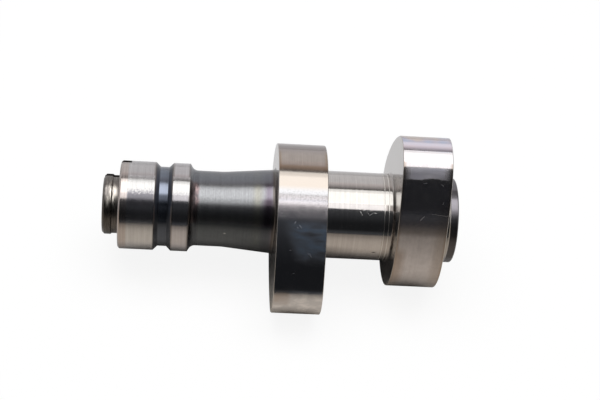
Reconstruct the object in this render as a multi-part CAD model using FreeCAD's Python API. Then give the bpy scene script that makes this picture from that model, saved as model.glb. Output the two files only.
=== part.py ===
import FreeCAD, Part
import math
import os

# Camshaft of a small overhead-cam engine, turned and ground from one steel forging.
# Millimetres. X runs along the shaft from the drive end, Z is up, and the origin is
# the middle of the drive journal. The shaft lies on a flat bench on its two lobes.

# Drive end: the pilot that centres the sprocket, and the journal behind its shoulder
PILOT_DIAMETER = 13.66
PILOT_LENGTH = 3.65
PILOT_CHAMFER = 0.5
RELIEF_DIAMETER = 13.2
RELIEF_LENGTH = 1.5
JOURNAL_DIAMETER = 20.0
JOURNAL_LENGTH = 7.9
JOURNAL_CHAMFER = 0.4

# Groove for the plate that holds the shaft endways, and the collar behind it
GROOVE_DIAMETER = 18.0
GROOVE_FLOOR_LENGTH = 2.0
COLLAR_LENGTH = 3.75

# Waist left as turned, from a round shoulder to a slow taper up to the first lobe
WAIST_DIAMETER = 17.08
SHOULDER_ANGLE = 60.0
SHOULDER_FILLET = 1.6
WAIST_LENGTH = 7.65
TAPER_ANGLE = 5.15
TAPER_BLEND = 16.0
TAPER_LENGTH = 11.7

# Lobes: base circle, lift and nose, joined by flanks that are arcs of a large circle
BASE_RADIUS = 15.68
FIRST_LIFT = 8.3
SECOND_LIFT = 8.4
NOSE_RADIUS = 8.0
FLANK_RADIUS = 44.7
LOBE_WIDTH = 11.0
LOBE_SPACING = 26.43
LOBE_EDGE_BREAK = 0.2
LOBE_ROOT_FILLET = 0.6

# Ground shaft between the lobes, the land beyond them and the boss at the free end
SHAFT_DIAMETER = 20.0
LAND_LENGTH = 1.9
BOSS_DIAMETER = 19.46
BOSS_LENGTH = 1.8
BOSS_CHAMFER = 0.25

# Turns about X, from +Y towards +Z: the first nose, then what is set out from it
FIRST_NOSE_TURN = 197.5
NOSE_SPREAD = 105.5
SLOT_AHEAD_OF_NOSE = 41.4

# Timing slot across the pilot's edge and into the journal
SLOT_WIDTH = 3.2
SLOT_FLOOR_RADIUS = 5.0
SLOT_INTO_JOURNAL = 2.4
SLOT_CORNER = 0.3

# Tapped hole for the sprocket bolt, M8 drilled to its thread's inner diameter
BOLT_HOLE_DIAMETER = 6.65
BOLT_HOLE_DEPTH = 20.0
BOLT_HOLE_MOUTH_DIAMETER = 8.4
DRILL_POINT_ANGLE = 118.0

# Centre hole in the free end, on which the shaft is turned and ground
CENTRE_DRILL_DIAMETER = 2.5
CENTRE_DRILL_DEPTH = 5.5
CENTRE_MOUTH_DIAMETER = 5.3
CENTRE_ANGLE = 60.0

# Stations along X that follow from the lengths
SHOULDER_X = -JOURNAL_LENGTH / 2
DRIVE_END_X = SHOULDER_X - PILOT_LENGTH
GROOVE_DEPTH = (JOURNAL_DIAMETER - GROOVE_DIAMETER) / 2
GROOVE_X = SHOULDER_X + JOURNAL_LENGTH
COLLAR_X = GROOVE_X + GROOVE_FLOOR_LENGTH + 2 * GROOVE_DEPTH
WAIST_SHOULDER_X = COLLAR_X + COLLAR_LENGTH
TAPER_X = WAIST_SHOULDER_X + WAIST_LENGTH
FIRST_LOBE_X = TAPER_X + TAPER_LENGTH
SECOND_LOBE_X = FIRST_LOBE_X + LOBE_SPACING
LAND_X = SECOND_LOBE_X + LOBE_WIDTH
BOSS_X = LAND_X + LAND_LENGTH
FREE_END_X = BOSS_X + BOSS_LENGTH

AXIS = FreeCAD.Vector(1, 0, 0)
CENTRE = FreeCAD.Vector(0, 0, 0)


class Outline:
    """Half a lengthwise section, drawn from point to point: x along the axis, r out."""

    def __init__(self, x, r):
        self.start = FreeCAD.Vector(x, r, 0)
        self.here = self.start
        self.edges = []

    def line(self, x, r):
        end = FreeCAD.Vector(x, r, 0)
        self.edges.append(Part.makeLine(self.here, end))
        self.here = end

    def arc(self, centre_x, centre_r, x, r):
        centre = FreeCAD.Vector(centre_x, centre_r, 0)
        end = FreeCAD.Vector(x, r, 0)
        outward = (self.here - centre) + (end - centre)
        middle = centre + outward.normalize() * (end - centre).Length
        self.edges.append(Part.Arc(self.here, middle, end).toShape())
        self.here = end

    def turned(self):
        """The solid that the closed section sweeps in one turn about the axis."""
        self.line(self.start.x, self.start.y)
        return Part.Face(Part.Wire(self.edges)).revolve(CENTRE, AXIS, 360)


def draw_drive_end(outline):
    """Pilot, its relief, the journal, the groove and the collar."""
    pilot = PILOT_DIAMETER / 2
    relief = RELIEF_DIAMETER / 2
    journal = JOURNAL_DIAMETER / 2
    floor = GROOVE_DIAMETER / 2
    relief_x = SHOULDER_X - RELIEF_LENGTH
    outline.line(DRIVE_END_X, pilot - PILOT_CHAMFER)
    outline.line(DRIVE_END_X + PILOT_CHAMFER, pilot)
    outline.line(relief_x - (pilot - relief), pilot)
    outline.line(relief_x, relief)
    outline.line(SHOULDER_X, relief)
    outline.line(SHOULDER_X, journal - JOURNAL_CHAMFER)
    outline.line(SHOULDER_X + JOURNAL_CHAMFER, journal)
    outline.line(GROOVE_X, journal)
    outline.line(GROOVE_X + GROOVE_DEPTH, floor)
    outline.line(COLLAR_X - GROOVE_DEPTH, floor)
    outline.line(COLLAR_X, journal)
    outline.line(WAIST_SHOULDER_X, journal)


def draw_waist(outline):
    """Steep shoulder with a round foot, the plain waist, and the taper to the lobe."""
    waist = WAIST_DIAMETER / 2
    steep = math.radians(SHOULDER_ANGLE)
    foot_r = waist + SHOULDER_FILLET * (1 - math.cos(steep))
    foot_x = WAIST_SHOULDER_X + (JOURNAL_DIAMETER / 2 - foot_r) / math.tan(steep)
    fillet_x = foot_x + SHOULDER_FILLET * math.sin(steep)
    outline.line(foot_x, foot_r)
    outline.arc(fillet_x, waist + SHOULDER_FILLET, fillet_x, waist)

    slope = math.radians(TAPER_ANGLE)
    reach = TAPER_BLEND * math.tan(slope / 2)
    outline.line(TAPER_X - reach, waist)
    outline.arc(
        TAPER_X - reach,
        waist + TAPER_BLEND,
        TAPER_X + reach * math.cos(slope),
        waist + reach * math.sin(slope),
    )
    root_x = FIRST_LOBE_X - LOBE_ROOT_FILLET
    root_r = waist + (root_x - TAPER_X) * math.tan(slope)
    outline.line(root_x, root_r)
    draw_root_up(outline, FIRST_LOBE_X)


def draw_root_up(outline, face_x):
    """Fillet from the shaft up to a lobe's face, and on into the lobe."""
    r = outline.here.y
    outline.arc(
        face_x - LOBE_ROOT_FILLET, r + LOBE_ROOT_FILLET, face_x, r + LOBE_ROOT_FILLET
    )


def draw_root_down(outline, face_x, shaft):
    """Through a lobe and, by a fillet, back down from its far face to the shaft."""
    outline.line(face_x, shaft + LOBE_ROOT_FILLET)
    outline.arc(
        face_x + LOBE_ROOT_FILLET,
        shaft + LOBE_ROOT_FILLET,
        face_x + LOBE_ROOT_FILLET,
        shaft,
    )


def draw_free_end(outline):
    """Ground shaft between the lobes, the land cut square beyond them, and the boss."""
    shaft = SHAFT_DIAMETER / 2
    boss = BOSS_DIAMETER / 2
    draw_root_down(outline, FIRST_LOBE_X + LOBE_WIDTH, shaft)
    outline.line(SECOND_LOBE_X - LOBE_ROOT_FILLET, shaft)
    draw_root_up(outline, SECOND_LOBE_X)
    outline.line(LAND_X, shaft + LOBE_ROOT_FILLET)
    outline.line(LAND_X, shaft)
    outline.line(BOSS_X - (shaft - boss), shaft)
    outline.line(BOSS_X, boss)
    outline.line(FREE_END_X - BOSS_CHAMFER, boss)
    outline.line(FREE_END_X, boss - BOSS_CHAMFER)
    outline.line(FREE_END_X, 0)


def turned_shaft():
    """Everything that is round about the shaft's axis."""
    outline = Outline(DRIVE_END_X, 0)
    draw_drive_end(outline)
    draw_waist(outline)
    draw_free_end(outline)
    return outline.turned()


def cam_outline(lift):
    """A lobe's edge about the origin, nose towards +Y: four arcs, tangent in turn."""
    nose_y = BASE_RADIUS + lift - NOSE_RADIUS
    to_base = FLANK_RADIUS - BASE_RADIUS
    to_nose = FLANK_RADIUS - NOSE_RADIUS
    flank_y = (to_base**2 - to_nose**2 + nose_y**2) / (2 * nose_y)
    flank_z = math.sqrt(to_base**2 - flank_y**2)

    nose = FreeCAD.Vector(0, nose_y, 0)
    nose_tip = FreeCAD.Vector(0, nose_y + NOSE_RADIUS, 0)
    base_foot = FreeCAD.Vector(0, -BASE_RADIUS, 0)
    flanks = []
    nose_ends = []
    base_ends = []
    for side in (1, -1):
        flank = FreeCAD.Vector(0, flank_y, -side * flank_z)
        base_end = (CENTRE - flank).normalize() * FLANK_RADIUS + flank
        nose_end = (nose - flank).normalize() * FLANK_RADIUS + flank
        outward = (base_end - flank) + (nose_end - flank)
        middle = outward.normalize() * FLANK_RADIUS + flank
        flanks.append(Part.Arc(base_end, middle, nose_end).toShape())
        nose_ends.append(nose_end)
        base_ends.append(base_end)
    base_arc = Part.Arc(base_ends[0], base_foot, base_ends[1]).toShape()
    nose_arc = Part.Arc(nose_ends[1], nose_tip, nose_ends[0]).toShape()
    return Part.Wire([base_arc, flanks[1], nose_arc, flanks[0]])


def lobe(face_x, lift, nose_turn):
    """One cam lobe, its sharp edges broken, with its nose turned into place."""
    blank = Part.Face(cam_outline(lift)).extrude(AXIS * LOBE_WIDTH)
    rims = []
    for edge in blank.Edges:
        if edge.BoundBox.XLength < LOBE_WIDTH / 2:
            rims.append(edge)
    ground = blank.makeChamfer(LOBE_EDGE_BREAK, rims)
    ground.rotate(CENTRE, AXIS, nose_turn)
    ground.translate(AXIS * face_x)
    return ground


def timing_slot(turn):
    """Cutter of the square-ended slot that times the sprocket to the lobes."""
    length = PILOT_LENGTH + SLOT_INTO_JOURNAL
    depth = JOURNAL_DIAMETER / 2
    overrun = PILOT_LENGTH
    corner = FreeCAD.Vector(
        DRIVE_END_X - overrun, SLOT_FLOOR_RADIUS, -SLOT_WIDTH / 2
    )
    cutter = Part.makeBox(length + overrun, depth, SLOT_WIDTH, corner)
    floor_edges = []
    for edge in cutter.Edges:
        box = edge.BoundBox
        if box.YMax < SLOT_FLOOR_RADIUS + SLOT_CORNER and box.XLength > length:
            floor_edges.append(edge)
    cutter = cutter.makeFillet(SLOT_CORNER, floor_edges)
    cutter.rotate(CENTRE, AXIS, turn)
    return cutter


def drilled_hole(diameter, depth, mouth_diameter, mouth_angle, end_x, inward):
    """Cutter of a drilled hole with a pointed bottom and a countersunk mouth."""
    radius = diameter / 2
    mouth = mouth_diameter / 2
    mouth_depth = (mouth - radius) / math.tan(math.radians(mouth_angle / 2))
    point = radius / math.tan(math.radians(DRILL_POINT_ANGLE / 2))
    outline = Outline(end_x - inward * mouth_depth, 0)
    outline.line(end_x - inward * mouth_depth, mouth)
    outline.line(end_x, mouth)
    outline.line(end_x + inward * mouth_depth, radius)
    outline.line(end_x + inward * depth, radius)
    outline.line(end_x + inward * (depth + point), 0)
    return outline.turned()


def camshaft():
    """The whole shaft as one solid."""
    second_nose_turn = FIRST_NOSE_TURN - NOSE_SPREAD
    slot_turn = second_nose_turn - SLOT_AHEAD_OF_NOSE
    first = lobe(FIRST_LOBE_X, FIRST_LIFT, FIRST_NOSE_TURN)
    second = lobe(SECOND_LOBE_X, SECOND_LIFT, second_nose_turn)
    bolt_hole = drilled_hole(
        BOLT_HOLE_DIAMETER,
        BOLT_HOLE_DEPTH,
        BOLT_HOLE_MOUTH_DIAMETER,
        CENTRE_ANGLE,
        DRIVE_END_X,
        1,
    )
    centre_hole = drilled_hole(
        CENTRE_DRILL_DIAMETER,
        CENTRE_DRILL_DEPTH,
        CENTRE_MOUTH_DIAMETER,
        CENTRE_ANGLE,
        FREE_END_X,
        -1,
    )
    shaft = turned_shaft().fuse([first, second])
    shaft = shaft.cut([timing_slot(slot_turn), bolt_hole, centre_hole])
    return shaft.removeSplitter().Solids[0]


os.makedirs("parts", exist_ok=True)
camshaft().exportStep("parts/camshaft.step")
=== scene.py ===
import math

import bmesh
import bpy
from mathutils import Matrix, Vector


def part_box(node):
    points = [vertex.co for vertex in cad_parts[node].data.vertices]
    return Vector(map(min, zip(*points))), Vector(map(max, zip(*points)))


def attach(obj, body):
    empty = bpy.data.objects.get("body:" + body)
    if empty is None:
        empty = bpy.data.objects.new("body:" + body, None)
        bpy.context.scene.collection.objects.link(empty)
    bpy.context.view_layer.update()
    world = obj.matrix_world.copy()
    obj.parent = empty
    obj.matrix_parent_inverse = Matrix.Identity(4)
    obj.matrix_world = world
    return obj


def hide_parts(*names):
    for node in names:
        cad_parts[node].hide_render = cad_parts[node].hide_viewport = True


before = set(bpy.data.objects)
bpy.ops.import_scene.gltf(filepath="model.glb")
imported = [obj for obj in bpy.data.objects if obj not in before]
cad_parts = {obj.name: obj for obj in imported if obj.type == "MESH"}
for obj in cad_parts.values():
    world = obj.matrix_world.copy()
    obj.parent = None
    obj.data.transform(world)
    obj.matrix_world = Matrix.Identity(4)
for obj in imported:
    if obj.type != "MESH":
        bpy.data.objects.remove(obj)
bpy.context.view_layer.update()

# The shaft is one steel forging, turned between centres and ground on its journals. Half
# of its lengthwise section is drawn by moving one vertex along, from the bottom of the
# bolt hole round the outside to the centre hole, and is then spun. Sizes across are radii.
MM = 0.001
PILOT = 6.83 * MM
PILOT_LENGTH = 3.65 * MM
PILOT_CHAMFER = 0.5 * MM
RELIEF = 6.6 * MM
RELIEF_LENGTH = 1.5 * MM
JOURNAL = 10.0 * MM
JOURNAL_LENGTH = 7.9 * MM
JOURNAL_CHAMFER = 0.4 * MM
GROOVE = 9.0 * MM
GROOVE_FLOOR = 2.0 * MM
COLLAR_LENGTH = 3.75 * MM
SHOULDER_SLOPE = math.radians(60)
SHOULDER_FILLET = 1.6 * MM
WAIST = 8.54 * MM
WAIST_LENGTH = 7.65 * MM
TAPER_SLOPE = math.radians(5.15)
TAPER_BLEND = 16 * MM
TAPER_LENGTH = 11.7 * MM
ROOT_FILLET = 0.6 * MM
LOBE_WIDTH = 11.0 * MM
LOBE_SPACING = 26.43 * MM
LAND_LENGTH = 1.9 * MM
BOSS = 9.73 * MM
BOSS_CHAMFER = 0.25 * MM
BROKEN_CORNER = 0.06 * MM
ROUND_STEPS = 192
MERGE_GAP = 0.002 * MM

box_low, box_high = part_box("camshaft")
drive_end = box_low[0]
free_end = box_high[0]
shoulder = drive_end + PILOT_LENGTH
groove = shoulder + JOURNAL_LENGTH
collar = groove + GROOVE_FLOOR + 2 * (JOURNAL - GROOVE)
waist_shoulder = collar + COLLAR_LENGTH
taper = waist_shoulder + WAIST_LENGTH
first_lobe = taper + TAPER_LENGTH
second_lobe = first_lobe + LOBE_SPACING
land = second_lobe + LOBE_WIDTH
boss = land + LAND_LENGTH


def lone_vertex(name, place):
    """A new object with one vertex at a place, left in edit mode."""
    bpy.ops.object.select_all(action="DESELECT")
    bpy.ops.mesh.primitive_plane_add(size=MM, location=place)
    bpy.context.object.name = name
    bpy.ops.object.transform_apply(location=True, rotation=False, scale=False)
    bpy.ops.object.mode_set(mode="EDIT")
    bpy.ops.mesh.merge(type="CENTER")


class Drawn:
    """A line in the X-Y plane, drawn by extruding and spinning a single vertex."""

    def __init__(self, name, x, r):
        lone_vertex(name, (x, r, 0))
        self.x = x
        self.r = r

    def line(self, x, r):
        step = (x - self.x, r - self.r, 0)
        bpy.ops.mesh.extrude_vertices_move(TRANSFORM_OT_translate={"value": step})
        self.x = x
        self.r = r

    def arc(self, centre_x, centre_r, x, r, steps):
        start = math.atan2(self.r - centre_r, self.x - centre_x)
        end = math.atan2(r - centre_r, x - centre_x)
        turn = (start - end + math.pi) % (2 * math.pi) - math.pi
        bpy.ops.mesh.spin(
            steps=steps, angle=turn, center=(centre_x, centre_r, 0), axis=(0, 0, 1)
        )
        self.x = x
        self.r = r


def select_vertices(wanted):
    """In edit mode, selects the vertices that a test picks, and nothing else."""
    edited = bmesh.from_edit_mesh(bpy.context.object.data)
    for face in edited.faces:
        face.select_set(False)
    for edge in edited.edges:
        edge.select_set(False)
    for vertex in edited.verts:
        vertex.select_set(wanted(vertex))
    edited.select_flush(True)
    bmesh.update_edit_mesh(bpy.context.object.data)


def select_edges(wanted):
    """In edit mode, selects the edges that a test picks, and nothing else."""
    bpy.ops.mesh.select_mode(type="EDGE")
    edited = bmesh.from_edit_mesh(bpy.context.object.data)
    for face in edited.faces:
        face.select_set(False)
    for edge in edited.edges:
        edge.select_set(wanted(edge))
    bmesh.update_edit_mesh(bpy.context.object.data)


def is_corner(vertex):
    """True where the drawn line turns by more than 25 degrees."""
    if len(vertex.link_edges) != 2:
        return False
    before, after = (edge.other_vert(vertex).co - vertex.co for edge in vertex.link_edges)
    return before.angle(after) < math.radians(155)


# The tapped bolt hole in the drive end, from its drill point out to its mouth.
BOLT_HOLE = 3.325 * MM
BOLT_HOLE_END = drive_end + 20 * MM
DRILL_POINT = 2 * MM
THREAD = 4.0 * MM
THREAD_END = drive_end + 18 * MM
THREAD_RUNOUT = 0.67 * MM
MOUTH = 4.2 * MM
MOUTH_DEPTH = 0.35 * MM
section = Drawn("shaft", BOLT_HOLE_END + DRILL_POINT, 0)
section.line(BOLT_HOLE_END, BOLT_HOLE)
section.line(THREAD_END, BOLT_HOLE)
section.line(THREAD_END - THREAD_RUNOUT, THREAD)
section.line(drive_end + MOUTH_DEPTH, THREAD)
section.line(drive_end, MOUTH)

# Outside it the pilot, its relief, the journal, the groove and the collar.
section.line(drive_end, PILOT - PILOT_CHAMFER)
section.line(drive_end + PILOT_CHAMFER, PILOT)
section.line(shoulder - RELIEF_LENGTH - (PILOT - RELIEF), PILOT)
section.line(shoulder - RELIEF_LENGTH, RELIEF)
section.line(shoulder, RELIEF)
section.line(shoulder, JOURNAL - JOURNAL_CHAMFER)
section.line(shoulder + JOURNAL_CHAMFER, JOURNAL)
section.line(groove, JOURNAL)
section.line(groove + (JOURNAL - GROOVE), GROOVE)
section.line(collar - (JOURNAL - GROOVE), GROOVE)
section.line(collar, JOURNAL)
section.line(waist_shoulder, JOURNAL)

# The waist's steep shoulder with its round foot, and the slow taper up to the lobe.
foot_r = WAIST + SHOULDER_FILLET * (1 - math.cos(SHOULDER_SLOPE))
foot_x = waist_shoulder + (JOURNAL - foot_r) / math.tan(SHOULDER_SLOPE)
waist_x = foot_x + SHOULDER_FILLET * math.sin(SHOULDER_SLOPE)
section.line(foot_x, foot_r)
section.arc(waist_x, WAIST + SHOULDER_FILLET, waist_x, WAIST, 8)
blend = TAPER_BLEND * math.tan(TAPER_SLOPE / 2)
section.line(taper - blend, WAIST)
section.arc(
    taper - blend,
    WAIST + TAPER_BLEND,
    taper + blend * math.cos(TAPER_SLOPE),
    WAIST + blend * math.sin(TAPER_SLOPE),
    6,
)
root_x = first_lobe - ROOT_FILLET
root_r = WAIST + (root_x - taper) * math.tan(TAPER_SLOPE)
section.line(root_x, root_r)
section.arc(root_x, root_r + ROOT_FILLET, first_lobe, root_r + ROOT_FILLET, 8)

# Inside a lobe the line only has to stay hidden. The centre journal is between the two,
# and the land comes out of the second.
inside = JOURNAL + ROOT_FILLET
first_far = first_lobe + LOBE_WIDTH
section.line(first_far, inside)
section.arc(first_far + ROOT_FILLET, inside, first_far + ROOT_FILLET, JOURNAL, 8)
section.line(second_lobe - ROOT_FILLET, JOURNAL)
section.arc(second_lobe - ROOT_FILLET, inside, second_lobe, inside, 8)
section.line(land - MM, inside)
section.line(land - MM, JOURNAL)
section.line(boss - (JOURNAL - BOSS), JOURNAL)
section.line(boss, BOSS)

# The boss's end face, with the centre hole on which the shaft is turned and ground.
CENTRE_MOUTH = 2.65 * MM
CENTRE_MOUTH_DEPTH = 2.42 * MM
CENTRE_DRILL = 1.25 * MM
CENTRE_DRILL_DEPTH = 5.5 * MM
CENTRE_DRILL_POINT = 0.75 * MM
section.line(free_end - BOSS_CHAMFER, BOSS)
section.line(free_end, BOSS - BOSS_CHAMFER)
section.line(free_end, CENTRE_MOUTH)
section.line(free_end - CENTRE_MOUTH_DEPTH, CENTRE_DRILL)
section.line(free_end - CENTRE_DRILL_DEPTH, CENTRE_DRILL)
section.line(free_end - CENTRE_DRILL_DEPTH - CENTRE_DRILL_POINT, 0)

select_vertices(is_corner)
bpy.ops.mesh.bevel(
    offset=BROKEN_CORNER, segments=2, affect="VERTICES", clamp_overlap=True
)
bpy.ops.mesh.select_all(action="SELECT")
bpy.ops.mesh.spin(
    steps=ROUND_STEPS, angle=2 * math.pi, center=(0, 0, 0), axis=(1, 0, 0)
)
bpy.ops.mesh.select_all(action="SELECT")
bpy.ops.mesh.remove_doubles(threshold=MERGE_GAP)
bpy.ops.mesh.normals_make_consistent(inside=False)
bpy.ops.object.mode_set(mode="OBJECT")
shaft = bpy.context.object


class Shade:
    """An output of a shader node. Arithmetic on it adds the Math nodes that do it."""

    def __init__(self, tree, socket=None):
        self.tree = tree
        self.socket = socket

    def node(self, kind, settings, sockets, output=0):
        """Adds a node, makes its settings, fills its sockets, and gives one output."""
        made = self.tree.nodes.new(kind)
        for name, setting in settings.items():
            setattr(made, name, setting)
        for name, value in sockets.items():
            if isinstance(value, Shade):
                self.tree.links.new(value.socket, made.inputs[name])
            else:
                made.inputs[name].default_value = value
        if not made.outputs:
            return None
        return Shade(self.tree, made.outputs[output])

    def maths(self, operation, first, second):
        return self.node("ShaderNodeMath", {"operation": operation}, {0: first, 1: second})

    def __add__(self, other):
        return self.maths("ADD", self, other)

    def __radd__(self, other):
        return self.maths("ADD", other, self)

    def __sub__(self, other):
        return self.maths("SUBTRACT", self, other)

    def __rsub__(self, other):
        return self.maths("SUBTRACT", other, self)

    def __mul__(self, other):
        return self.maths("MULTIPLY", self, other)

    def __rmul__(self, other):
        return self.maths("MULTIPLY", other, self)


def empty_material(name):
    """A new material with no nodes, and a Shade to start its tree from."""
    material = bpy.data.materials.new(name)
    material.use_nodes = True
    material.node_tree.nodes.clear()
    return material, Shade(material.node_tree)


def past(value, edge, soft):
    """0 before an edge and 1 past it, with a soft step between."""
    return value.node(
        "ShaderNodeMapRange",
        {"interpolation_type": "SMOOTHSTEP"},
        {"Value": value, "From Min": edge - soft, "From Max": edge + soft},
    )


def between(value, start, end, soft):
    return past(value, start, soft) * (1 - past(value, end, soft))


def mixed(mask, under, over):
    """One colour laid over another where a mask is 1."""
    settings = {"data_type": "RGBA"}
    return mask.node("ShaderNodeMix", settings, {0: mask, 6: under, 7: over}, 2)


def dimmed(colour, level):
    """A colour times a level that changes over the surface."""
    settings = {"data_type": "RGBA", "blend_type": "MULTIPLY"}
    return level.node("ShaderNodeMix", settings, {0: 1.0, 6: colour, 7: level}, 2)


# Places on the steel are millimetres along the shaft and degrees round it, counted up
# from the line that is uppermost at the front, 48.7 degrees above the bench.
UPPER_FRONT = math.radians(131.3)
TO_MM = 1000


class Steel:
    """Where a point on the steel is, and the marks that grinding and use leave there."""

    def __init__(self, start):
        self.place = start.node("ShaderNodeTexCoord", {}, {}, "Object")
        turned = start.node(
            "ShaderNodeVectorRotate",
            {"rotation_type": "X_AXIS"},
            {"Vector": self.place, "Angle": -UPPER_FRONT},
        )
        across = start.node("ShaderNodeSeparateXYZ", {}, {"Vector": turned}, "Y")
        upright = start.node("ShaderNodeSeparateXYZ", {}, {"Vector": turned}, "Z")
        x = start.node("ShaderNodeSeparateXYZ", {}, {"Vector": turned}, "X")
        self.along = x * TO_MM
        self.around = start.maths("ARCTAN2", upright, across) * math.degrees(-1)
        squares = across * across + upright * upright
        self.radius = start.maths("POWER", squares, 0.5) * TO_MM

    def grain(self, along, round_about, detail):
        """Noise with this many ridges a millimetre along the shaft and round it."""
        along = along * TO_MM
        round_about = round_about * TO_MM
        stretched = self.place.node(
            "ShaderNodeVectorMath",
            {"operation": "MULTIPLY"},
            {0: self.place, 1: (along, round_about, round_about)},
        )
        return stretched.node(
            "ShaderNodeTexNoise", {}, {"Vector": stretched, "Scale": 1.0, "Detail": detail}
        )

    def rings(self, ridges, detail):
        """Noise in rings round the axis, as a cutter or wheel leaves on an end face."""
        return self.radius.node(
            "ShaderNodeTexNoise",
            {"noise_dimensions": "1D"},
            {"W": self.radius, "Scale": ridges, "Detail": detail},
        )

    def patch(self, start, end, low, high, soft_along, soft_round):
        """1 on a patch of the surface, from start to end and from low to high."""
        return between(self.along, start, end, soft_along) * between(
            self.around, low, high, soft_round
        )

    def scratch(self, x, angle, r, length, lean, width=0.045):
        """A fine mark at a place on radius r, leaning from the shaft's direction."""
        beside = self.along - x
        upwards = (self.around - angle) * math.radians(r)
        lean_along = math.cos(math.radians(lean))
        lean_up = math.sin(math.radians(lean))
        run = beside * lean_along + upwards * lean_up
        off = upwards * lean_along - beside * lean_up
        return between(run, -length / 2, length / 2, 2 * width) * between(
            off, -width, width, width
        )

    def finish(self, colour, roughness, height, depth, metallic=1.0):
        """Steel with a colour, a roughness and a relief of this many millimetres.

        Where a film or a dull skin lies on it, metallic is a little less than 1."""
        relief = height.node(
            "ShaderNodeBump", {}, {"Height": height, "Distance": depth * MM}
        )
        surface = relief.node(
            "ShaderNodeBsdfPrincipled",
            {},
            {
                "Base Color": colour,
                "Roughness": roughness,
                "Metallic": metallic,
                "Normal": relief,
            },
        )
        surface.node("ShaderNodeOutputMaterial", {}, {"Surface": surface})


# Each length of the shaft has its own finish: the pilot, waist and boss stay dark from
# heat treatment, and the journals are ground bright.
turned_steel, start = empty_material("turned_steel")
steel = Steel(start)
along = steel.along
around = steel.around
finishes = [
    (drive_end, shoulder, 0.05, (0.17, 0.155, 0.145, 1), 0.26),
    (shoulder, groove, 0.05, (0.405, 0.39, 0.395, 1), 0.16),
    (groove, collar, 0.12, (0.045, 0.05, 0.065, 1), 0.3),
    (groove + MM, collar - MM, 0.15, (0.135, 0.15, 0.185, 1), 0.22),
    (collar, waist_shoulder, 0.05, (0.415, 0.395, 0.405, 1), 0.14),
    (waist_shoulder, first_lobe, 0.05, (0.163, 0.165, 0.17, 1), 0.25),
    (waist_shoulder, waist_shoulder + 2 * MM, 0.3, (0.07, 0.06, 0.062, 1), 0.28),
    (first_lobe - 5 * MM, first_lobe - 3.3 * MM, 0.8, (0.172, 0.169, 0.152, 1), 0.25),
    (first_lobe - 2.4 * MM, first_lobe - 0.8 * MM, 0.7, (0.118, 0.104, 0.125, 1), 0.2),
    (first_lobe - 0.8 * MM, first_lobe, 0.1, (0.09, 0.08, 0.075, 1), 0.25),
    (land, boss, 0.05, (0.33, 0.31, 0.29, 1), 0.2),
    (boss, free_end, 0.05, (0.135, 0.127, 0.138, 1), 0.3),
]
colour = (0.43, 0.405, 0.395, 1)
roughness = 0.1
for begin, end, soft, finish_colour, finish_roughness in finishes:
    here = between(along, begin / MM, end / MM, soft)
    colour = mixed(here, colour, finish_colour)
    roughness = (finish_roughness - roughness) * here + roughness

# Painted shade darkens the fillet at the second lobe's foot, in the band where the lobe
# keeps the softbox out of its reflection.
painted_foot_shade = steel.patch(second_lobe / MM - 1.6, second_lobe / MM, 7.5, 17.5, 0.2, 0.8)
colour = mixed(painted_foot_shade * 0.9, colour, (0.04, 0.035, 0.033, 1))

# A brown line of heat at the journals' edges, and a blue and violet one by the lobe. The
# violet lies only outside the highlight's band, and painted shade darkens it most just
# under the highlight, so by the lobe it is partly heat tint and partly painted shade.
EDGE_BROWN = (0.15, 0.125, 0.11, 1)
for edge in (shoulder, groove, collar, waist_shoulder):
    near = between(along, edge / MM - 0.3, edge / MM + 0.3, 0.15)
    colour = mixed(near * 0.5, colour, EDGE_BROWN)
violet_and_painted_shade = between(along, first_lobe / MM - 3.1, first_lobe / MM - 0.8, 0.7)
violet_and_painted_shade = violet_and_painted_shade * (1 - between(around, 16, 37, 4))
colour = mixed(violet_and_painted_shade * 0.65, colour, (0.065, 0.05, 0.062, 1))
painted_shade_by_lobe = steel.patch(first_lobe / MM - 2.3, first_lobe / MM - 0.7, 2, 17, 0.5, 5)
colour = mixed(painted_shade_by_lobe * 0.6, colour, (0.035, 0.026, 0.035, 1))

# By the second lobe the centre journal has a darker, browner band. Two fine bright rings
# in it are painted highlights, for the glint off the edges of a small relief groove.
beside_lobe = between(along, second_lobe / MM - 2.3, second_lobe / MM, 0.1)
colour = mixed(beside_lobe * 0.5, colour, (0.26, 0.23, 0.21, 1))
for line_x in (second_lobe / MM - 2.1, second_lobe / MM - 1.1):
    painted_glint_ring = between(along, line_x - 0.08, line_x + 0.08, 0.06)
    colour = mixed(painted_glint_ring * 0.7, colour, (0.75, 0.72, 0.68, 1))
    roughness = painted_glint_ring * 0.2 + roughness

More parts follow.
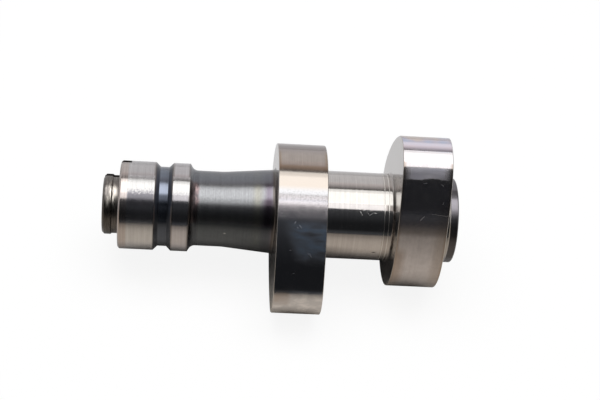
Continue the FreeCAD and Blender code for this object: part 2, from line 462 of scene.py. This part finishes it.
# Light and shade are also painted round the shaft. The waist is a little bluer above.
# Painted shade darkens waist, groove, pilot and boss where they face down, and groove,
# pilot and drive journal just under their highlights. The boss has a painted highlight in
# its bright band with painted shade above it, and the drive journal is painted brighter
# where it faces down. Each row has its place along the shaft, its turns in degrees, how
# soft it ends along and round the shaft, its strength and its colour.
painted_shade_light_and_tint = [
    (waist_shoulder, first_lobe - MM, (40, 100), (0.5, 4), 0.8, (0.142, 0.148, 0.166, 1)),
    (waist_shoulder, first_lobe - MM, (-110, -22), (0.5, 3), 0.8, (0.065, 0.074, 0.083, 1)),
    (groove, collar, (-110, -20), (0.2, 3), 0.7, (0.05, 0.055, 0.065, 1)),
    (groove, collar, (0, 17.5), (0.2, 3), 0.85, (0.03, 0.034, 0.044, 1)),
    (drive_end, shoulder, (-78, 17), (0.1, 4), 0.8, (0.085, 0.077, 0.071, 1)),
    (boss, free_end, (-62, -18), (0.1, 6), 0.8, (0.06, 0.056, 0.056, 1)),
    (boss, free_end, (12, 29), (0.1, 2), 0.8, (0.17, 0.16, 0.175, 1)),
    (boss, free_end, (30, 44), (0.1, 2), 0.8, (0.065, 0.062, 0.066, 1)),
    (shoulder, groove, (-20, 5), (0.1, 4), 0.7, (0.26, 0.255, 0.28, 1)),
    (shoulder, groove, (-75, -24), (0.1, 4), 0.8, (0.47, 0.46, 0.455, 1)),
]
for begin, end, turns, soft, strength, painted_colour in painted_shade_light_and_tint:
    here = steel.patch(begin / MM, end / MM, *turns, *soft)
    colour = mixed(here * strength, colour, painted_colour)

# Painted shade makes the band that takes the softbox's highlight darker and creamier along
# the centre journal, and darker on the drive journal and collar, which are painted lighter
# just above it. The drive journal's rim is warmer where the sprocket's heat reached it.
painted_highlight_shade = steel.patch(first_lobe / MM + 9, second_lobe / MM, 15.2, 37, 0.3, 2.2)
colour = mixed(painted_highlight_shade, colour, (0.288, 0.276, 0.26, 1))
ground = between(along, shoulder / MM, groove / MM, 0.05)
ground = between(along, collar / MM, waist_shoulder / MM, 0.05) + ground
colour = mixed(ground * between(around, 15, 37, 3), colour, (0.29, 0.284, 0.278, 1))
colour = mixed(ground * between(around, 37.5, 42, 2), colour, (0.5, 0.49, 0.5, 1))
warm_rim = between(along, shoulder / MM, shoulder / MM + 1.9, 0.2)
colour = mixed(warm_rim * 0.7, colour, (0.37, 0.315, 0.29, 1))

# Fine lines and wider bands run round it from turning and grinding.
fine_lines = steel.grain(6.0, 0.01, 3.0)
bands = steel.grain(1.6, 0.012, 3.0)
turned_rings = steel.rings(5.0, 3.0)
cloud = steel.grain(0.9, 0.9, 4.0)
colour = dimmed(colour, 0.62 + bands * 0.36 + fine_lines * 0.4)
on_pilot = between(along, drive_end / MM, shoulder / MM, 0.1)
scored = on_pilot * past(steel.grain(4.5, 0.35, 4.0), 0.5, 0.1)
colour = dimmed(colour, 1 - scored * 0.32)
roughness = scored * 0.12 + roughness
on_waist = between(along, waist_shoulder / MM, first_lobe / MM - 2, 0.5)
mottle = steel.grain(3.4, 2.6, 3.0)
colour = dimmed(colour, 0.93 + cloud * 0.14)
colour = dimmed(colour, 1 + on_waist * (mottle * 0.44 - 0.22))
roughness = roughness * (0.75 + bands * 0.5)

# The journal's middle was run dry once, and its bearing left it scuffed. A ragged band
# just under the highlight is darker: on the journal partly scuffed steel and partly
# painted shade, on the collar painted shade.
SCUFF_START = -2.0
SCUFF_END = 3.8
ragged = steel.grain(3.6, 2.4, 4.0)
scuffed = between(along, SCUFF_START, SCUFF_END, 0.25) * past(ragged, 0.5, 0.25)
roughness = scuffed * 0.1 + roughness
dry_and_painted_shade = between(around + (ragged - 0.5) * 20, 0, 18, 4.5)
journal_scuff_and_shade = dry_and_painted_shade * between(along, SCUFF_START, SCUFF_END, 0.2)
collar_painted_shade = dry_and_painted_shade * between(along, collar / MM, waist_shoulder / MM, 0.1)
colour = mixed(journal_scuff_and_shade * 0.92 + collar_painted_shade * 0.42, colour, (0.11, 0.106, 0.118, 1))

# Something hard was dragged over the centre journal and left a broken zigzag of marks.
scraped = steel.scratch(50.12, 2.9, 10, 1.0, -56, 0.05)
for mark_x, turn, length, lean in (
    (49.6, 8.4, 0.5, -20),
    (50.75, 7.4, 0.6, 25),
    (51.3, 4.6, 0.45, 50),
    (51.8, 2.2, 0.62, -50),
    (52.35, 2.6, 0.9, 36),
    (52.3, 7.0, 0.5, 15),
    (53.17, 4.3, 0.85, -15),
):
    scraped = steel.scratch(mark_x, turn, 10, length, lean, 0.035) + scraped
scraped = scraped * past(steel.grain(2.6, 2.6, 3.0), 0.46, 0.14)
colour = mixed(scraped * 0.8, colour, (0.9, 0.88, 0.85, 1))
roughness = scraped * 0.3 + roughness

# The sprocket has worn the pilot bright in streaks, and rust has started in the foot of
# the waist. One pit and one nick show below.
pilot_wear = steel.patch(drive_end / MM + 0.9, drive_end / MM + 3.0, -6, 42, 0.3, 8)
pilot_wear = pilot_wear * past(steel.grain(3.2, 0.3, 3.0), 0.5, 0.06)
colour = mixed(pilot_wear, colour, (0.42, 0.39, 0.35, 1))
rust = steel.patch(waist_shoulder / MM + 0.4, waist_shoulder / MM + 2.2, 0, 40, 0.4, 8)
rust = rust * past(steel.grain(1.8, 0.8, 3.0), 0.5, 0.15)
colour = mixed(rust * 0.8, colour, (0.2, 0.145, 0.145, 1))
pit = steel.scratch(53.74, -54.4, 10, 0.7, 15, 0.18)
colour = mixed(pit, colour, (0.03, 0.025, 0.025, 1))
nick = steel.scratch(19.93, -38.8, 8.6, 0.3, 0, 0.12)
colour = mixed(nick, colour, (0.4, 0.41, 0.4, 1))

height = fine_lines * 0.15 + steel.grain(3.0, 0.7, 3.0) + turned_rings * 0.3
steel.finish(colour, roughness, height + scraped * 1.5 - pit * 3, 0.004)
shaft.data.materials.append(turned_steel)

# The timing slot is milled across the edge of the pilot and into the journal with a
# square cutter, whose worn corners leave a small round along both sides of its floor.
FIRST_NOSE = math.radians(197.5)
SECOND_NOSE = FIRST_NOSE - math.radians(105.5)
SLOT_TURN = SECOND_NOSE - math.radians(41.4)
SLOT_END = shoulder + 2.4 * MM
SLOT_START = drive_end - 2 * MM
SLOT_FLOOR = 5.0 * MM
SLOT_WIDTH = 3.2 * MM
SLOT_CORNER = 0.3 * MM
CUTTER_HEIGHT = 8 * MM
SMOOTH_BELOW = math.radians(28)
bpy.ops.object.select_all(action="DESELECT")
bpy.ops.mesh.primitive_cube_add(size=1)
cutter = bpy.context.object
cutter.scale = (SLOT_END - SLOT_START, CUTTER_HEIGHT, SLOT_WIDTH)
bpy.ops.object.transform_apply(location=False, rotation=False, scale=True)
cutter.location = ((SLOT_END + SLOT_START) / 2, SLOT_FLOOR + CUTTER_HEIGHT / 2, 0)
bpy.ops.object.transform_apply(location=True, rotation=False, scale=False)
bpy.ops.object.mode_set(mode="EDIT")
select_edges(
    lambda edge: all(end.co.y < SLOT_FLOOR + MM for end in edge.verts)
    and abs(edge.verts[0].co.x - edge.verts[1].co.x) > MM
)
bpy.ops.mesh.bevel(offset=SLOT_CORNER, segments=4, affect="EDGES")
bpy.ops.mesh.select_mode(type="VERT")
bpy.ops.object.mode_set(mode="OBJECT")
cutter.rotation_euler.x = SLOT_TURN
bpy.ops.object.transform_apply(location=False, rotation=True, scale=False)

milled_steel, start = empty_material("milled_steel")
steel = Steel(start)
tool_marks = steel.grain(0.6, 5.0, 3.0)
colour = dimmed((0.13, 0.12, 0.115, 1), 0.7 + tool_marks * 0.6)
steel.finish(colour, 0.25 + tool_marks * 0.2, tool_marks, 0.004)
cutter.data.materials.append(milled_steel)

bpy.ops.object.select_all(action="DESELECT")
shaft.select_set(True)
bpy.context.view_layer.objects.active = shaft
milled = shaft.modifiers.new("timing slot", "BOOLEAN")
milled.operation = "DIFFERENCE"
milled.solver = "EXACT"
milled.object = cutter
bpy.ops.object.modifier_apply(modifier=milled.name)
bpy.data.objects.remove(cutter)
bpy.ops.object.shade_smooth_by_angle(angle=SMOOTH_BELOW)

# The two lobes are ground on a cam grinder. Each outline is four arcs that meet without
# a corner: base circle, two flanks of a large circle, and the nose that lifts the valve.
BASE = 15.68 * MM
FIRST_LIFT = 8.3 * MM
SECOND_LIFT = 8.4 * MM
NOSE = 8.0 * MM
FLANK = 44.7 * MM
EDGE_BREAK = 0.2 * MM


def lobe(name, face_x, lift, nose_turn):
    """One lobe, its outline spun arc by arc from one vertex with the nose towards +Y."""
    nose_y = BASE + lift - NOSE
    flank_y = ((FLANK - BASE) ** 2 - (FLANK - NOSE) ** 2 + nose_y**2) / (2 * nose_y)
    flank_z = math.sqrt((FLANK - BASE) ** 2 - flank_y**2)
    base_end = math.atan2(flank_z, -flank_y)
    nose_end = math.atan2(flank_z, nose_y - flank_y)
    arcs = [
        (0, 0, 2 * (math.pi - base_end), 96),
        (flank_y, flank_z, base_end - nose_end, 28),
        (nose_y, 0, 2 * nose_end, 56),
        (flank_y, -flank_z, base_end - nose_end, 28),
    ]
    lone_vertex(name, (face_x, BASE * math.cos(base_end), BASE * math.sin(base_end)))
    made = bpy.context.object
    for centre_y, centre_z, turn, steps in arcs:
        bpy.ops.mesh.spin(
            steps=steps, angle=-turn, center=(face_x, centre_y, centre_z), axis=(1, 0, 0)
        )
    bpy.ops.mesh.select_all(action="SELECT")
    bpy.ops.mesh.remove_doubles(threshold=MERGE_GAP)
    bpy.ops.mesh.edge_face_add()
    bpy.ops.mesh.extrude_region_move(
        TRANSFORM_OT_translate={"value": (LOBE_WIDTH, 0, 0)}
    )
    bpy.ops.mesh.select_all(action="SELECT")
    bpy.ops.mesh.normals_make_consistent(inside=False)
    bpy.ops.mesh.select_mode(type="EDGE")
    bpy.ops.mesh.select_all(action="DESELECT")
    bpy.ops.mesh.edges_select_sharp(sharpness=math.radians(60))
    bpy.ops.mesh.bevel(offset=EDGE_BREAK, segments=3, affect="EDGES")
    bpy.ops.mesh.select_mode(type="VERT")
    bpy.ops.object.mode_set(mode="OBJECT")
    made.rotation_euler.x = nose_turn
    bpy.ops.object.transform_apply(location=False, rotation=True, scale=False)
    bpy.ops.object.shade_smooth_by_angle(angle=math.radians(35))
    weighted = made.modifiers.new("flat faces stay flat", "WEIGHTED_NORMAL")
    weighted.keep_sharp = True
    weighted.weight = 100
    bpy.ops.object.modifier_apply(modifier=weighted.name)
    return made


first = lobe("first_lobe", first_lobe, FIRST_LIFT, FIRST_NOSE)
second = lobe("second_lobe", second_lobe, SECOND_LIFT, SECOND_NOSE)

LOBE_BRONZE = (0.25, 0.18, 0.12, 1)


def ground_lobe(steel, face_x, colour):
    """What both lobes share: ground lines, clouds of wear, and bronze at the edges."""
    fine_lines = steel.grain(7.0, 0.02, 3.0)
    cloud = steel.grain(0.5, 0.5, 3.0)
    far_x = (face_x + LOBE_WIDTH) / MM
    edge = 1 - between(steel.along, face_x / MM + 0.5, far_x - 0.5, 0.5)
    rim = past(steel.radius, BASE / MM - 0.5, 0.4)
    colour = mixed(edge * rim * 0.75, colour, LOBE_BRONZE)
    colour = dimmed(colour, 0.68 + fine_lines * 0.36 + cloud * 0.28)
    roughness = 0.08 + cloud * 0.08
    height = fine_lines * 0.1 + steel.grain(2.4, 1.6, 3.0) * 0.3
    height = height + steel.rings(3.0, 3.0) * 0.3
    return colour, roughness, height


def turned_sides(steel, face_x, colour, roughness, film):
    """Lays the sides' plain turned finish over what belongs to the cam surface alone."""
    far_x = (face_x + LOBE_WIDTH) / MM
    sides = 1 - between(steel.along, face_x / MM + 0.12, far_x - 0.12, 0.05)
    rings = steel.rings(4.0, 4.0)
    turned = dimmed((0.44, 0.42, 0.405, 1), 0.75 + rings * 0.5)
    colour = mixed(sides, colour, turned)
    roughness = (0.13 + rings * 0.08 - roughness) * sides + roughness
    return colour, roughness, 1 - film * (1 - sides)


# The first lobe opens one valve. A film of oil is drying blue on its ground flank, and
# the follower has rubbed its nose brighter.
first_steel, start = empty_material("first_lobe_steel")
steel = Steel(start)
colour, roughness, height = ground_lobe(steel, first_lobe, (0.35, 0.305, 0.28, 1))
colour = mixed(between(steel.around, 60, 160, 8), colour, (0.275, 0.24, 0.235, 1))
colour = mixed(between(steel.around, 33, 42, 2) * 0.7, colour, (0.35, 0.25, 0.18, 1))
# Painted shade: the band that takes the softbox's highlight is darker and warmer than the
# lobe under it.
colour = mixed(between(steel.around, 13, 36, 3), colour, (0.27, 0.268, 0.272, 1))
colour = mixed(between(steel.around, 20, 36, 3), colour, (0.265, 0.237, 0.21, 1))
colour = mixed(between(steel.around, -160, 13, 4), colour, (0.37, 0.36, 0.38, 1))
speckled = between(steel.around, 3, 18, 4) * past(steel.grain(2.6, 2.6, 2.0), 0.55, 0.06)
colour = dimmed(colour, 1 - speckled * 0.15)
# A painted highlight: much lighter steel just under the highlight carries it further down
# the flank.
painted_highlight_edge = between(steel.around, -5, 8, 2.5)
colour = mixed(painted_highlight_edge * 0.85, colour, (0.86, 0.79, 0.8, 1))
roughness = roughness + painted_highlight_edge * steel.grain(5.0, 0.1, 3.0) * 0.06
nose_rub = between(steel.around, -95, -50.5, 2)
smeared = steel.grain(0.35, 0.8, 3.0)
colour = mixed(nose_rub, colour, (0.5, 0.49, 0.5, 1))
colour = mixed(nose_rub * past(smeared, 0.52, 0.1) * 0.6, colour, (0.72, 0.7, 0.7, 1))
roughness = nose_rub * smeared * 0.1 + roughness
browned = steel.patch(31, 34.6, -59, -50.5, 0.8, 2.5)
colour = mixed(browned * smeared, colour, (0.28, 0.2, 0.15, 1))
wiped = steel.grain(0.3, 0.9, 4.0)
film = between(steel.along + steel.around * 0.12, 32, 41, 1.6)
film = film * between(steel.around, -33, -8, 5) * past(wiped, 0.42, 0.34)
colour = mixed(film * 0.8, colour, (0.15, 0.24, 0.36, 1))
roughness = film * 0.1 + roughness
for mark in (
    steel.scratch(35.0, -7.6, 16.1, 0.6, 65, 0.02),
    steel.scratch(36.15, -10.5, 16.2, 0.9, -50, 0.02),
    steel.scratch(35.6, -11.5, 16.2, 0.4, -30, 0.02),
    steel.scratch(38.66, -30.3, 18.2, 0.9, -60, 0.03),
    steel.scratch(38.2, -29.6, 18.2, 0.5, -50, 0.02),
    steel.scratch(34.2, -27.6, 17.8, 0.5, 10, 0.02),
    steel.scratch(35.18, -41.5, 20.1, 0.4, 20),
):
    colour = mixed(mark * 0.6, colour, (0.6, 0.6, 0.62, 1))
    roughness = mark * 0.3 + roughness
colour, roughness, metallic = turned_sides(steel, first_lobe, colour, roughness, film * 0.2)
steel.finish(colour, roughness, height, 0.003, metallic)
first.data.materials.append(first_steel)

# The second lobe opens the other valve. It ran hotter and shows the colours of heat on
# top, and the follower has dulled a band of it below its nose.
second_steel, start = empty_material("second_lobe_steel")
steel = Steel(start)
colour, roughness, height = ground_lobe(steel, second_lobe, (0.46, 0.435, 0.44, 1))
on_cam = between(steel.along, second_lobe / MM + 0.1, land / MM - 0.1, 0.1)
heat = between(steel.around, 36, 92, 8) * on_cam
colour = mixed(heat * 0.8, colour, (0.47, 0.43, 0.5, 1))
hue = steel.grain(0.16, 0.2, 2.0)
colour = mixed(heat * past(hue, 0.56, 0.1) * 0.7, colour, (0.56, 0.47, 0.4, 1))
colour = mixed(heat * (1 - past(hue, 0.44, 0.1)) * 0.7, colour, (0.36, 0.42, 0.56, 1))
browned_far = steel.patch(second_lobe / MM + 8.6, land / MM, -150, 10, 1.4, 8)
colour = mixed(browned_far * 0.6, colour, (0.3, 0.255, 0.22, 1))
browned_near = steel.patch(second_lobe / MM, second_lobe / MM + 2, -90, -27, 1.2, 6)
colour = mixed(browned_near * 0.7, colour, (0.27, 0.21, 0.17, 1))
strip = between(steel.around, 38, 44, 1) * on_cam
colour = mixed(strip * 0.8, colour, (0.68, 0.63, 0.7, 1))
# Painted shade: the band that takes the softbox's highlight is darker than the rest.
colour = mixed(between(steel.around, 31.5, 38, 1.2), colour, (0.292, 0.28, 0.283, 1))
clouded = between(steel.around, -60, 4, 4) * steel.grain(1.2, 1.2, 4.0)
roughness = clouded * 0.14 + roughness
colour = dimmed(colour, 1.06 - clouded * 0.22)
smoked = between(steel.around, -6, 22.5, 3) * steel.grain(0.5, 0.5, 4.0)
colour = mixed(smoked * 0.9, colour, (0.24, 0.235, 0.29, 1))
under_nose = between(steel.around, -13, -1, 3)
colour = mixed(under_nose * 0.55, colour, (0.12, 0.1, 0.095, 1))
smeared = steel.grain(0.25, 0.25, 3.0)
streaked = steel.grain(0.2, 0.9, 4.0)
dulled = past(steel.around + (smeared - 0.5) * 4, 22.8, 0.5)
dulled = dulled * (1 - past(steel.around, 28.4, 0.5))
dulled = dulled * between(steel.along, second_lobe / MM + 1.2, land / MM - 1.4, 1.2)
colour = mixed(dulled * (0.4 + smeared * 0.6), colour, (0.31, 0.31, 0.37, 1))
roughness = dulled * 0.2 + roughness
haze = dulled * (0.2 + streaked * 0.8) + steel.grain(0.8, 0.8, 3.0) * 0.05
for mark in (
    steel.scratch(62.5, 20.9, 21.5, 0.9, 10),
    steel.scratch(66.25, 20.3, 21.4, 0.6, -30),
    steel.scratch(66.83, 10.6, 19.4, 0.5, 60),
    steel.scratch(62.59, 0.2, 17.8, 1.2, 50),
    steel.scratch(66.4, 2.9, 18.1, 3.6, -4, 0.03),
):
    colour = mixed(mark * 0.7, colour, (0.7, 0.7, 0.72, 1))
    roughness = mark * 0.3 + roughness
colour, roughness, metallic = turned_sides(steel, second_lobe, colour, roughness, haze)
steel.finish(colour, roughness, height, 0.003, metallic)
second.data.materials.append(second_steel)

# The bolt hole is tapped M8 by 1.25, 18 mm deep. Its thread is one ridge that winds along
# the wall, sunk into it a little at the root and flat at its crest.
THREAD_PITCH = 1.25 * MM
THREAD_START = drive_end + 1.6 * MM
THREAD_TURNS = 12
TURN_STEPS = 48
ROOT_WIDTH = 1.1 * MM
CREST_SHARE = 0.28
RIDGE_HEIGHT = 0.72 * MM
bpy.ops.object.select_all(action="DESELECT")
bpy.ops.mesh.primitive_plane_add(size=1)
ridge = bpy.context.object
ridge.name = "bolt_thread"
ridge.scale = (ROOT_WIDTH, RIDGE_HEIGHT, 1)
bpy.ops.object.transform_apply(location=False, rotation=False, scale=True)
ridge.location = (THREAD_START, BOLT_HOLE + RIDGE_HEIGHT / 2, 0)
bpy.ops.object.transform_apply(location=True, rotation=False, scale=False)
bpy.ops.object.mode_set(mode="EDIT")
select_vertices(lambda vertex: vertex.co.y < BOLT_HOLE + RIDGE_HEIGHT / 2)
bpy.ops.transform.resize(
    value=(CREST_SHARE, 1, 1), center_override=(THREAD_START, BOLT_HOLE, 0)
)
bpy.ops.object.mode_set(mode="OBJECT")
wound = ridge.modifiers.new("thread", "SCREW")
wound.axis = "X"
wound.screw_offset = THREAD_PITCH
wound.iterations = THREAD_TURNS
wound.steps = TURN_STEPS
wound.render_steps = TURN_STEPS
wound.use_merge_vertices = True
bpy.ops.object.modifier_apply(modifier=wound.name)
bpy.ops.object.mode_set(mode="EDIT")
bpy.ops.mesh.select_all(action="DESELECT")
bpy.ops.mesh.select_non_manifold()
bpy.ops.mesh.edge_face_add()
bpy.ops.mesh.select_all(action="SELECT")
bpy.ops.mesh.normals_make_consistent(inside=False)
bpy.ops.object.mode_set(mode="OBJECT")
bpy.ops.object.shade_smooth_by_angle(angle=SMOOTH_BELOW)

tapped_steel, start = empty_material("tapped_steel")
steel = Steel(start)
swarf = steel.grain(2.0, 3.0, 4.0)
colour = dimmed((0.2, 0.185, 0.17, 1), 0.7 + swarf * 0.6)
steel.finish(colour, 0.2 + swarf * 0.25, swarf, 0.003)
ridge.data.materials.append(tapped_steel)

# The whole camshaft is one piece of steel, so its shaft, lobes and thread are one mesh,
# which stands in for the solid.
bpy.ops.object.select_all(action="DESELECT")
for part in (shaft, first, second, ridge):
    part.select_set(True)
bpy.context.view_layer.objects.active = shaft
bpy.ops.object.join()
camshaft = shaft
camshaft.name = "camshaft_ground"
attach(camshaft, "root")
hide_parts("camshaft")

# A pale bench top under the shaft. To the eye it is white with the shaft's soft shadow on
# it. The steel shows it warmer in front, with painted shade towards the front, where it
# runs out of the light, and painted shade in the corners by the shaft.
BENCH_SIZE = 12
CORNER_SHADE_REACH = 13 * MM
bpy.ops.object.select_all(action="DESELECT")
bpy.ops.mesh.primitive_plane_add(size=BENCH_SIZE, location=(0, 0, box_low[2]))
bench = bpy.context.object
bench.name = "bench"
bpy.ops.object.transform_apply(location=True, rotation=False, scale=False)
bench_top, start = empty_material("bench_top")
place = start.node("ShaderNodeTexCoord", {}, {}, "Object")
depth = start.node("ShaderNodeSeparateXYZ", {}, {"Vector": place}, "Y") * TO_MM
seen = start.node("ShaderNodeLightPath", {}, {}, "Is Camera Ray")
glossy = start.node("ShaderNodeLightPath", {}, {}, "Is Glossy Ray")
through = start.node("ShaderNodeLightPath", {}, {}, "Is Transmission Ray")
# Painted shade in the colour that the steel sees: darker towards the front and in the
# corners by the shaft.
in_light = 0.6 + past(depth, -70, 70) * 0.4
painted_corner_shade = start.node(
    "ShaderNodeAmbientOcclusion", {"samples": 4}, {"Distance": CORNER_SHADE_REACH}, "AO"
)
front = dimmed((0.95, 0.86, 0.75, 1), in_light)
shown = dimmed(mixed(past(depth, -8, 14), front, (0.95, 0.95, 0.96, 1)), painted_corner_shade)
shown = mixed(seen, shown, (0.15, 0.15, 0.15, 1))
paint = start.node("ShaderNodeBsdfDiffuse", {}, {"Color": shown})
level = seen * 0.88 + (glossy + through) * past(depth, 300, 200) * 0.35
glow = dimmed((1, 1, 1, 1), level)
glow = start.node("ShaderNodeEmission", {}, {"Color": glow, "Strength": 1.0})
both = start.node("ShaderNodeAddShader", {}, {0: paint, 1: glow})
start.node("ShaderNodeOutputMaterial", {}, {"Surface": both})
bench.data.materials.append(bench_top)

# The studio: a softbox overhead with a brighter middle, white walls, and a black card in
# front that gives polished steel its dark band. The cards show in the steel only.
MIDDLE_X = (drive_end + free_end) / 2
SOFTBOX_HEIGHT = 0.5
SOFTBOX_WIDTH = 0.6


def overhead(elevation):
    """How far back the softbox's plane is met at an elevation from the front, in degrees."""
    return -SOFTBOX_HEIGHT / math.tan(math.radians(elevation))


def panel(name, from_elevation, to_elevation, level):
    """A strip of the softbox between two elevations from the front, in degrees."""
    bpy.ops.object.select_all(action="DESELECT")
    near = overhead(from_elevation)
    far = overhead(to_elevation)
    bpy.ops.object.light_add(
        type="AREA", location=(MIDDLE_X, (near + far) / 2, SOFTBOX_HEIGHT)
    )
    lamp = bpy.context.object
    lamp.name = name
    lamp.data.shape = "RECTANGLE"
    lamp.data.size = SOFTBOX_WIDTH
    lamp.data.size_y = far - near
    lamp.data.energy = level * math.pi * SOFTBOX_WIDTH * (far - near)


SOFTBOX_FRONT = 64.9
BRIGHT_FRONT = 79.5
BRIGHT_BACK = 111
SOFTBOX_BACK = 119.3
panel("softbox_front", SOFTBOX_FRONT, BRIGHT_FRONT, 1.2)
panel("softbox_bright", BRIGHT_FRONT, BRIGHT_BACK, 2.7)
panel("softbox_back", BRIGHT_BACK, SOFTBOX_BACK, 1.8)

CARD_WIDTH = 4


def card(name, lower, upper, fade, levels, tint):
    """A wide sheet between two lines, each a (y, z), that only the steel sees.

    Its light goes from one level to the other between two heights."""
    bpy.ops.object.select_all(action="DESELECT")
    bpy.ops.mesh.primitive_plane_add(size=1, location=(MIDDLE_X, 0, 0))
    sheet = bpy.context.object
    sheet.name = name
    sheet.scale.x = CARD_WIDTH
    bpy.ops.object.transform_apply(location=True, rotation=False, scale=True)
    bpy.ops.object.mode_set(mode="EDIT")
    select_vertices(lambda vertex: vertex.co.y > 0)
    bpy.ops.transform.translate(value=(0, upper[0] - 0.5, upper[1]))
    select_vertices(lambda vertex: vertex.co.z == 0)
    bpy.ops.transform.translate(value=(0, lower[0] + 0.5, lower[1]))
    bpy.ops.object.mode_set(mode="OBJECT")
    sheet.visible_camera = False
    sheet.visible_diffuse = False
    sheet.visible_shadow = False
    paper, start = empty_material(name)
    place = start.node("ShaderNodeTexCoord", {}, {}, "Object")
    height = start.node("ShaderNodeSeparateXYZ", {}, {"Vector": place}, "Z")
    level = start.node(
        "ShaderNodeMapRange",
        {"interpolation_type": "SMOOTHSTEP"},
        {
            "Value": height,
            "From Min": fade[0],
            "From Max": fade[1],
            "To Min": levels[0],
            "To Max": levels[1],
        },
    )
    light = dimmed(tint, level)
    light = start.node("ShaderNodeEmission", {}, {"Color": light, "Strength": 1.0})
    start.node("ShaderNodeOutputMaterial", {}, {"Surface": light})
    sheet.data.materials.append(paper)


front_edge = (overhead(SOFTBOX_FRONT), SOFTBOX_HEIGHT)
back_edge = (overhead(SOFTBOX_BACK), SOFTBOX_HEIGHT)
card_bend = (-0.68, 0.12)
card_on_bench = (-0.75, box_low[2])
skirt_hem = (0.46, 0.35)
NAVY_BLACK = (0.86, 0.93, 1.02, 1)
GREY = (1, 0.95, 0.94, 1)
card("black_card", card_bend, front_edge, (0.25, 0.55), (0.023, 0.105), NAVY_BLACK)
card("card_foot", card_on_bench, card_bend, (0.03, 0.14), (0.09, 0.023), NAVY_BLACK)
card("softbox_skirt", skirt_hem, back_edge, (0.35, 0.52), (1.0, 0.15), GREY)

# White walls all round. The bench gets less of their light, so that the softbox, which
# is overhead, throws the shaft's shadow.
world = bpy.data.worlds.new("studio")
bpy.context.scene.world = world
world.use_nodes = True
world.node_tree.nodes.clear()
start = Shade(world.node_tree)
bounced = start.node("ShaderNodeLightPath", {}, {}, "Is Diffuse Ray")
wall = start.node(
    "ShaderNodeBackground", {}, {"Color": (1, 1, 1, 1), "Strength": 1 - bounced * 0.75}
)
start.node("ShaderNodeOutputWorld", {}, {"Surface": wall})

# The camera stands where the photograph was taken from, 331 mm from the shaft's axis and
# 48.7 degrees above the bench, turned a little to its right and tilted a little.
CAMERA_X = 11.58 * MM
CAMERA_DISTANCE = 330.56 * MM
ELEVATION = math.radians(48.72)
TURN_RIGHT = 0.0767
TILT_UP = 0.0089
ROLL = 0.0483
FOCAL_PIXELS = 1447.2
IMAGE_WIDTH = 600
SENSOR_WIDTH = 36
stand = (
    Matrix.Translation(
        (
            CAMERA_X,
            -CAMERA_DISTANCE * math.cos(ELEVATION),
            CAMERA_DISTANCE * math.sin(ELEVATION),
        )
    )
    @ Matrix.Rotation(math.pi / 2 - ELEVATION, 4, "X")
    @ Matrix.Rotation(-TURN_RIGHT, 4, "Y")
    @ Matrix.Rotation(TILT_UP, 4, "X")
    @ Matrix.Rotation(ROLL, 4, "Z")
)
bpy.ops.object.camera_add()
camera = bpy.context.object
camera.matrix_world = stand
camera.data.sensor_width = SENSOR_WIDTH
camera.data.lens = FOCAL_PIXELS / IMAGE_WIDTH * SENSOR_WIDTH
camera.data.clip_start = 0.01
bpy.context.scene.camera = camera
bpy.context.scene.view_settings.view_transform = "Standard"
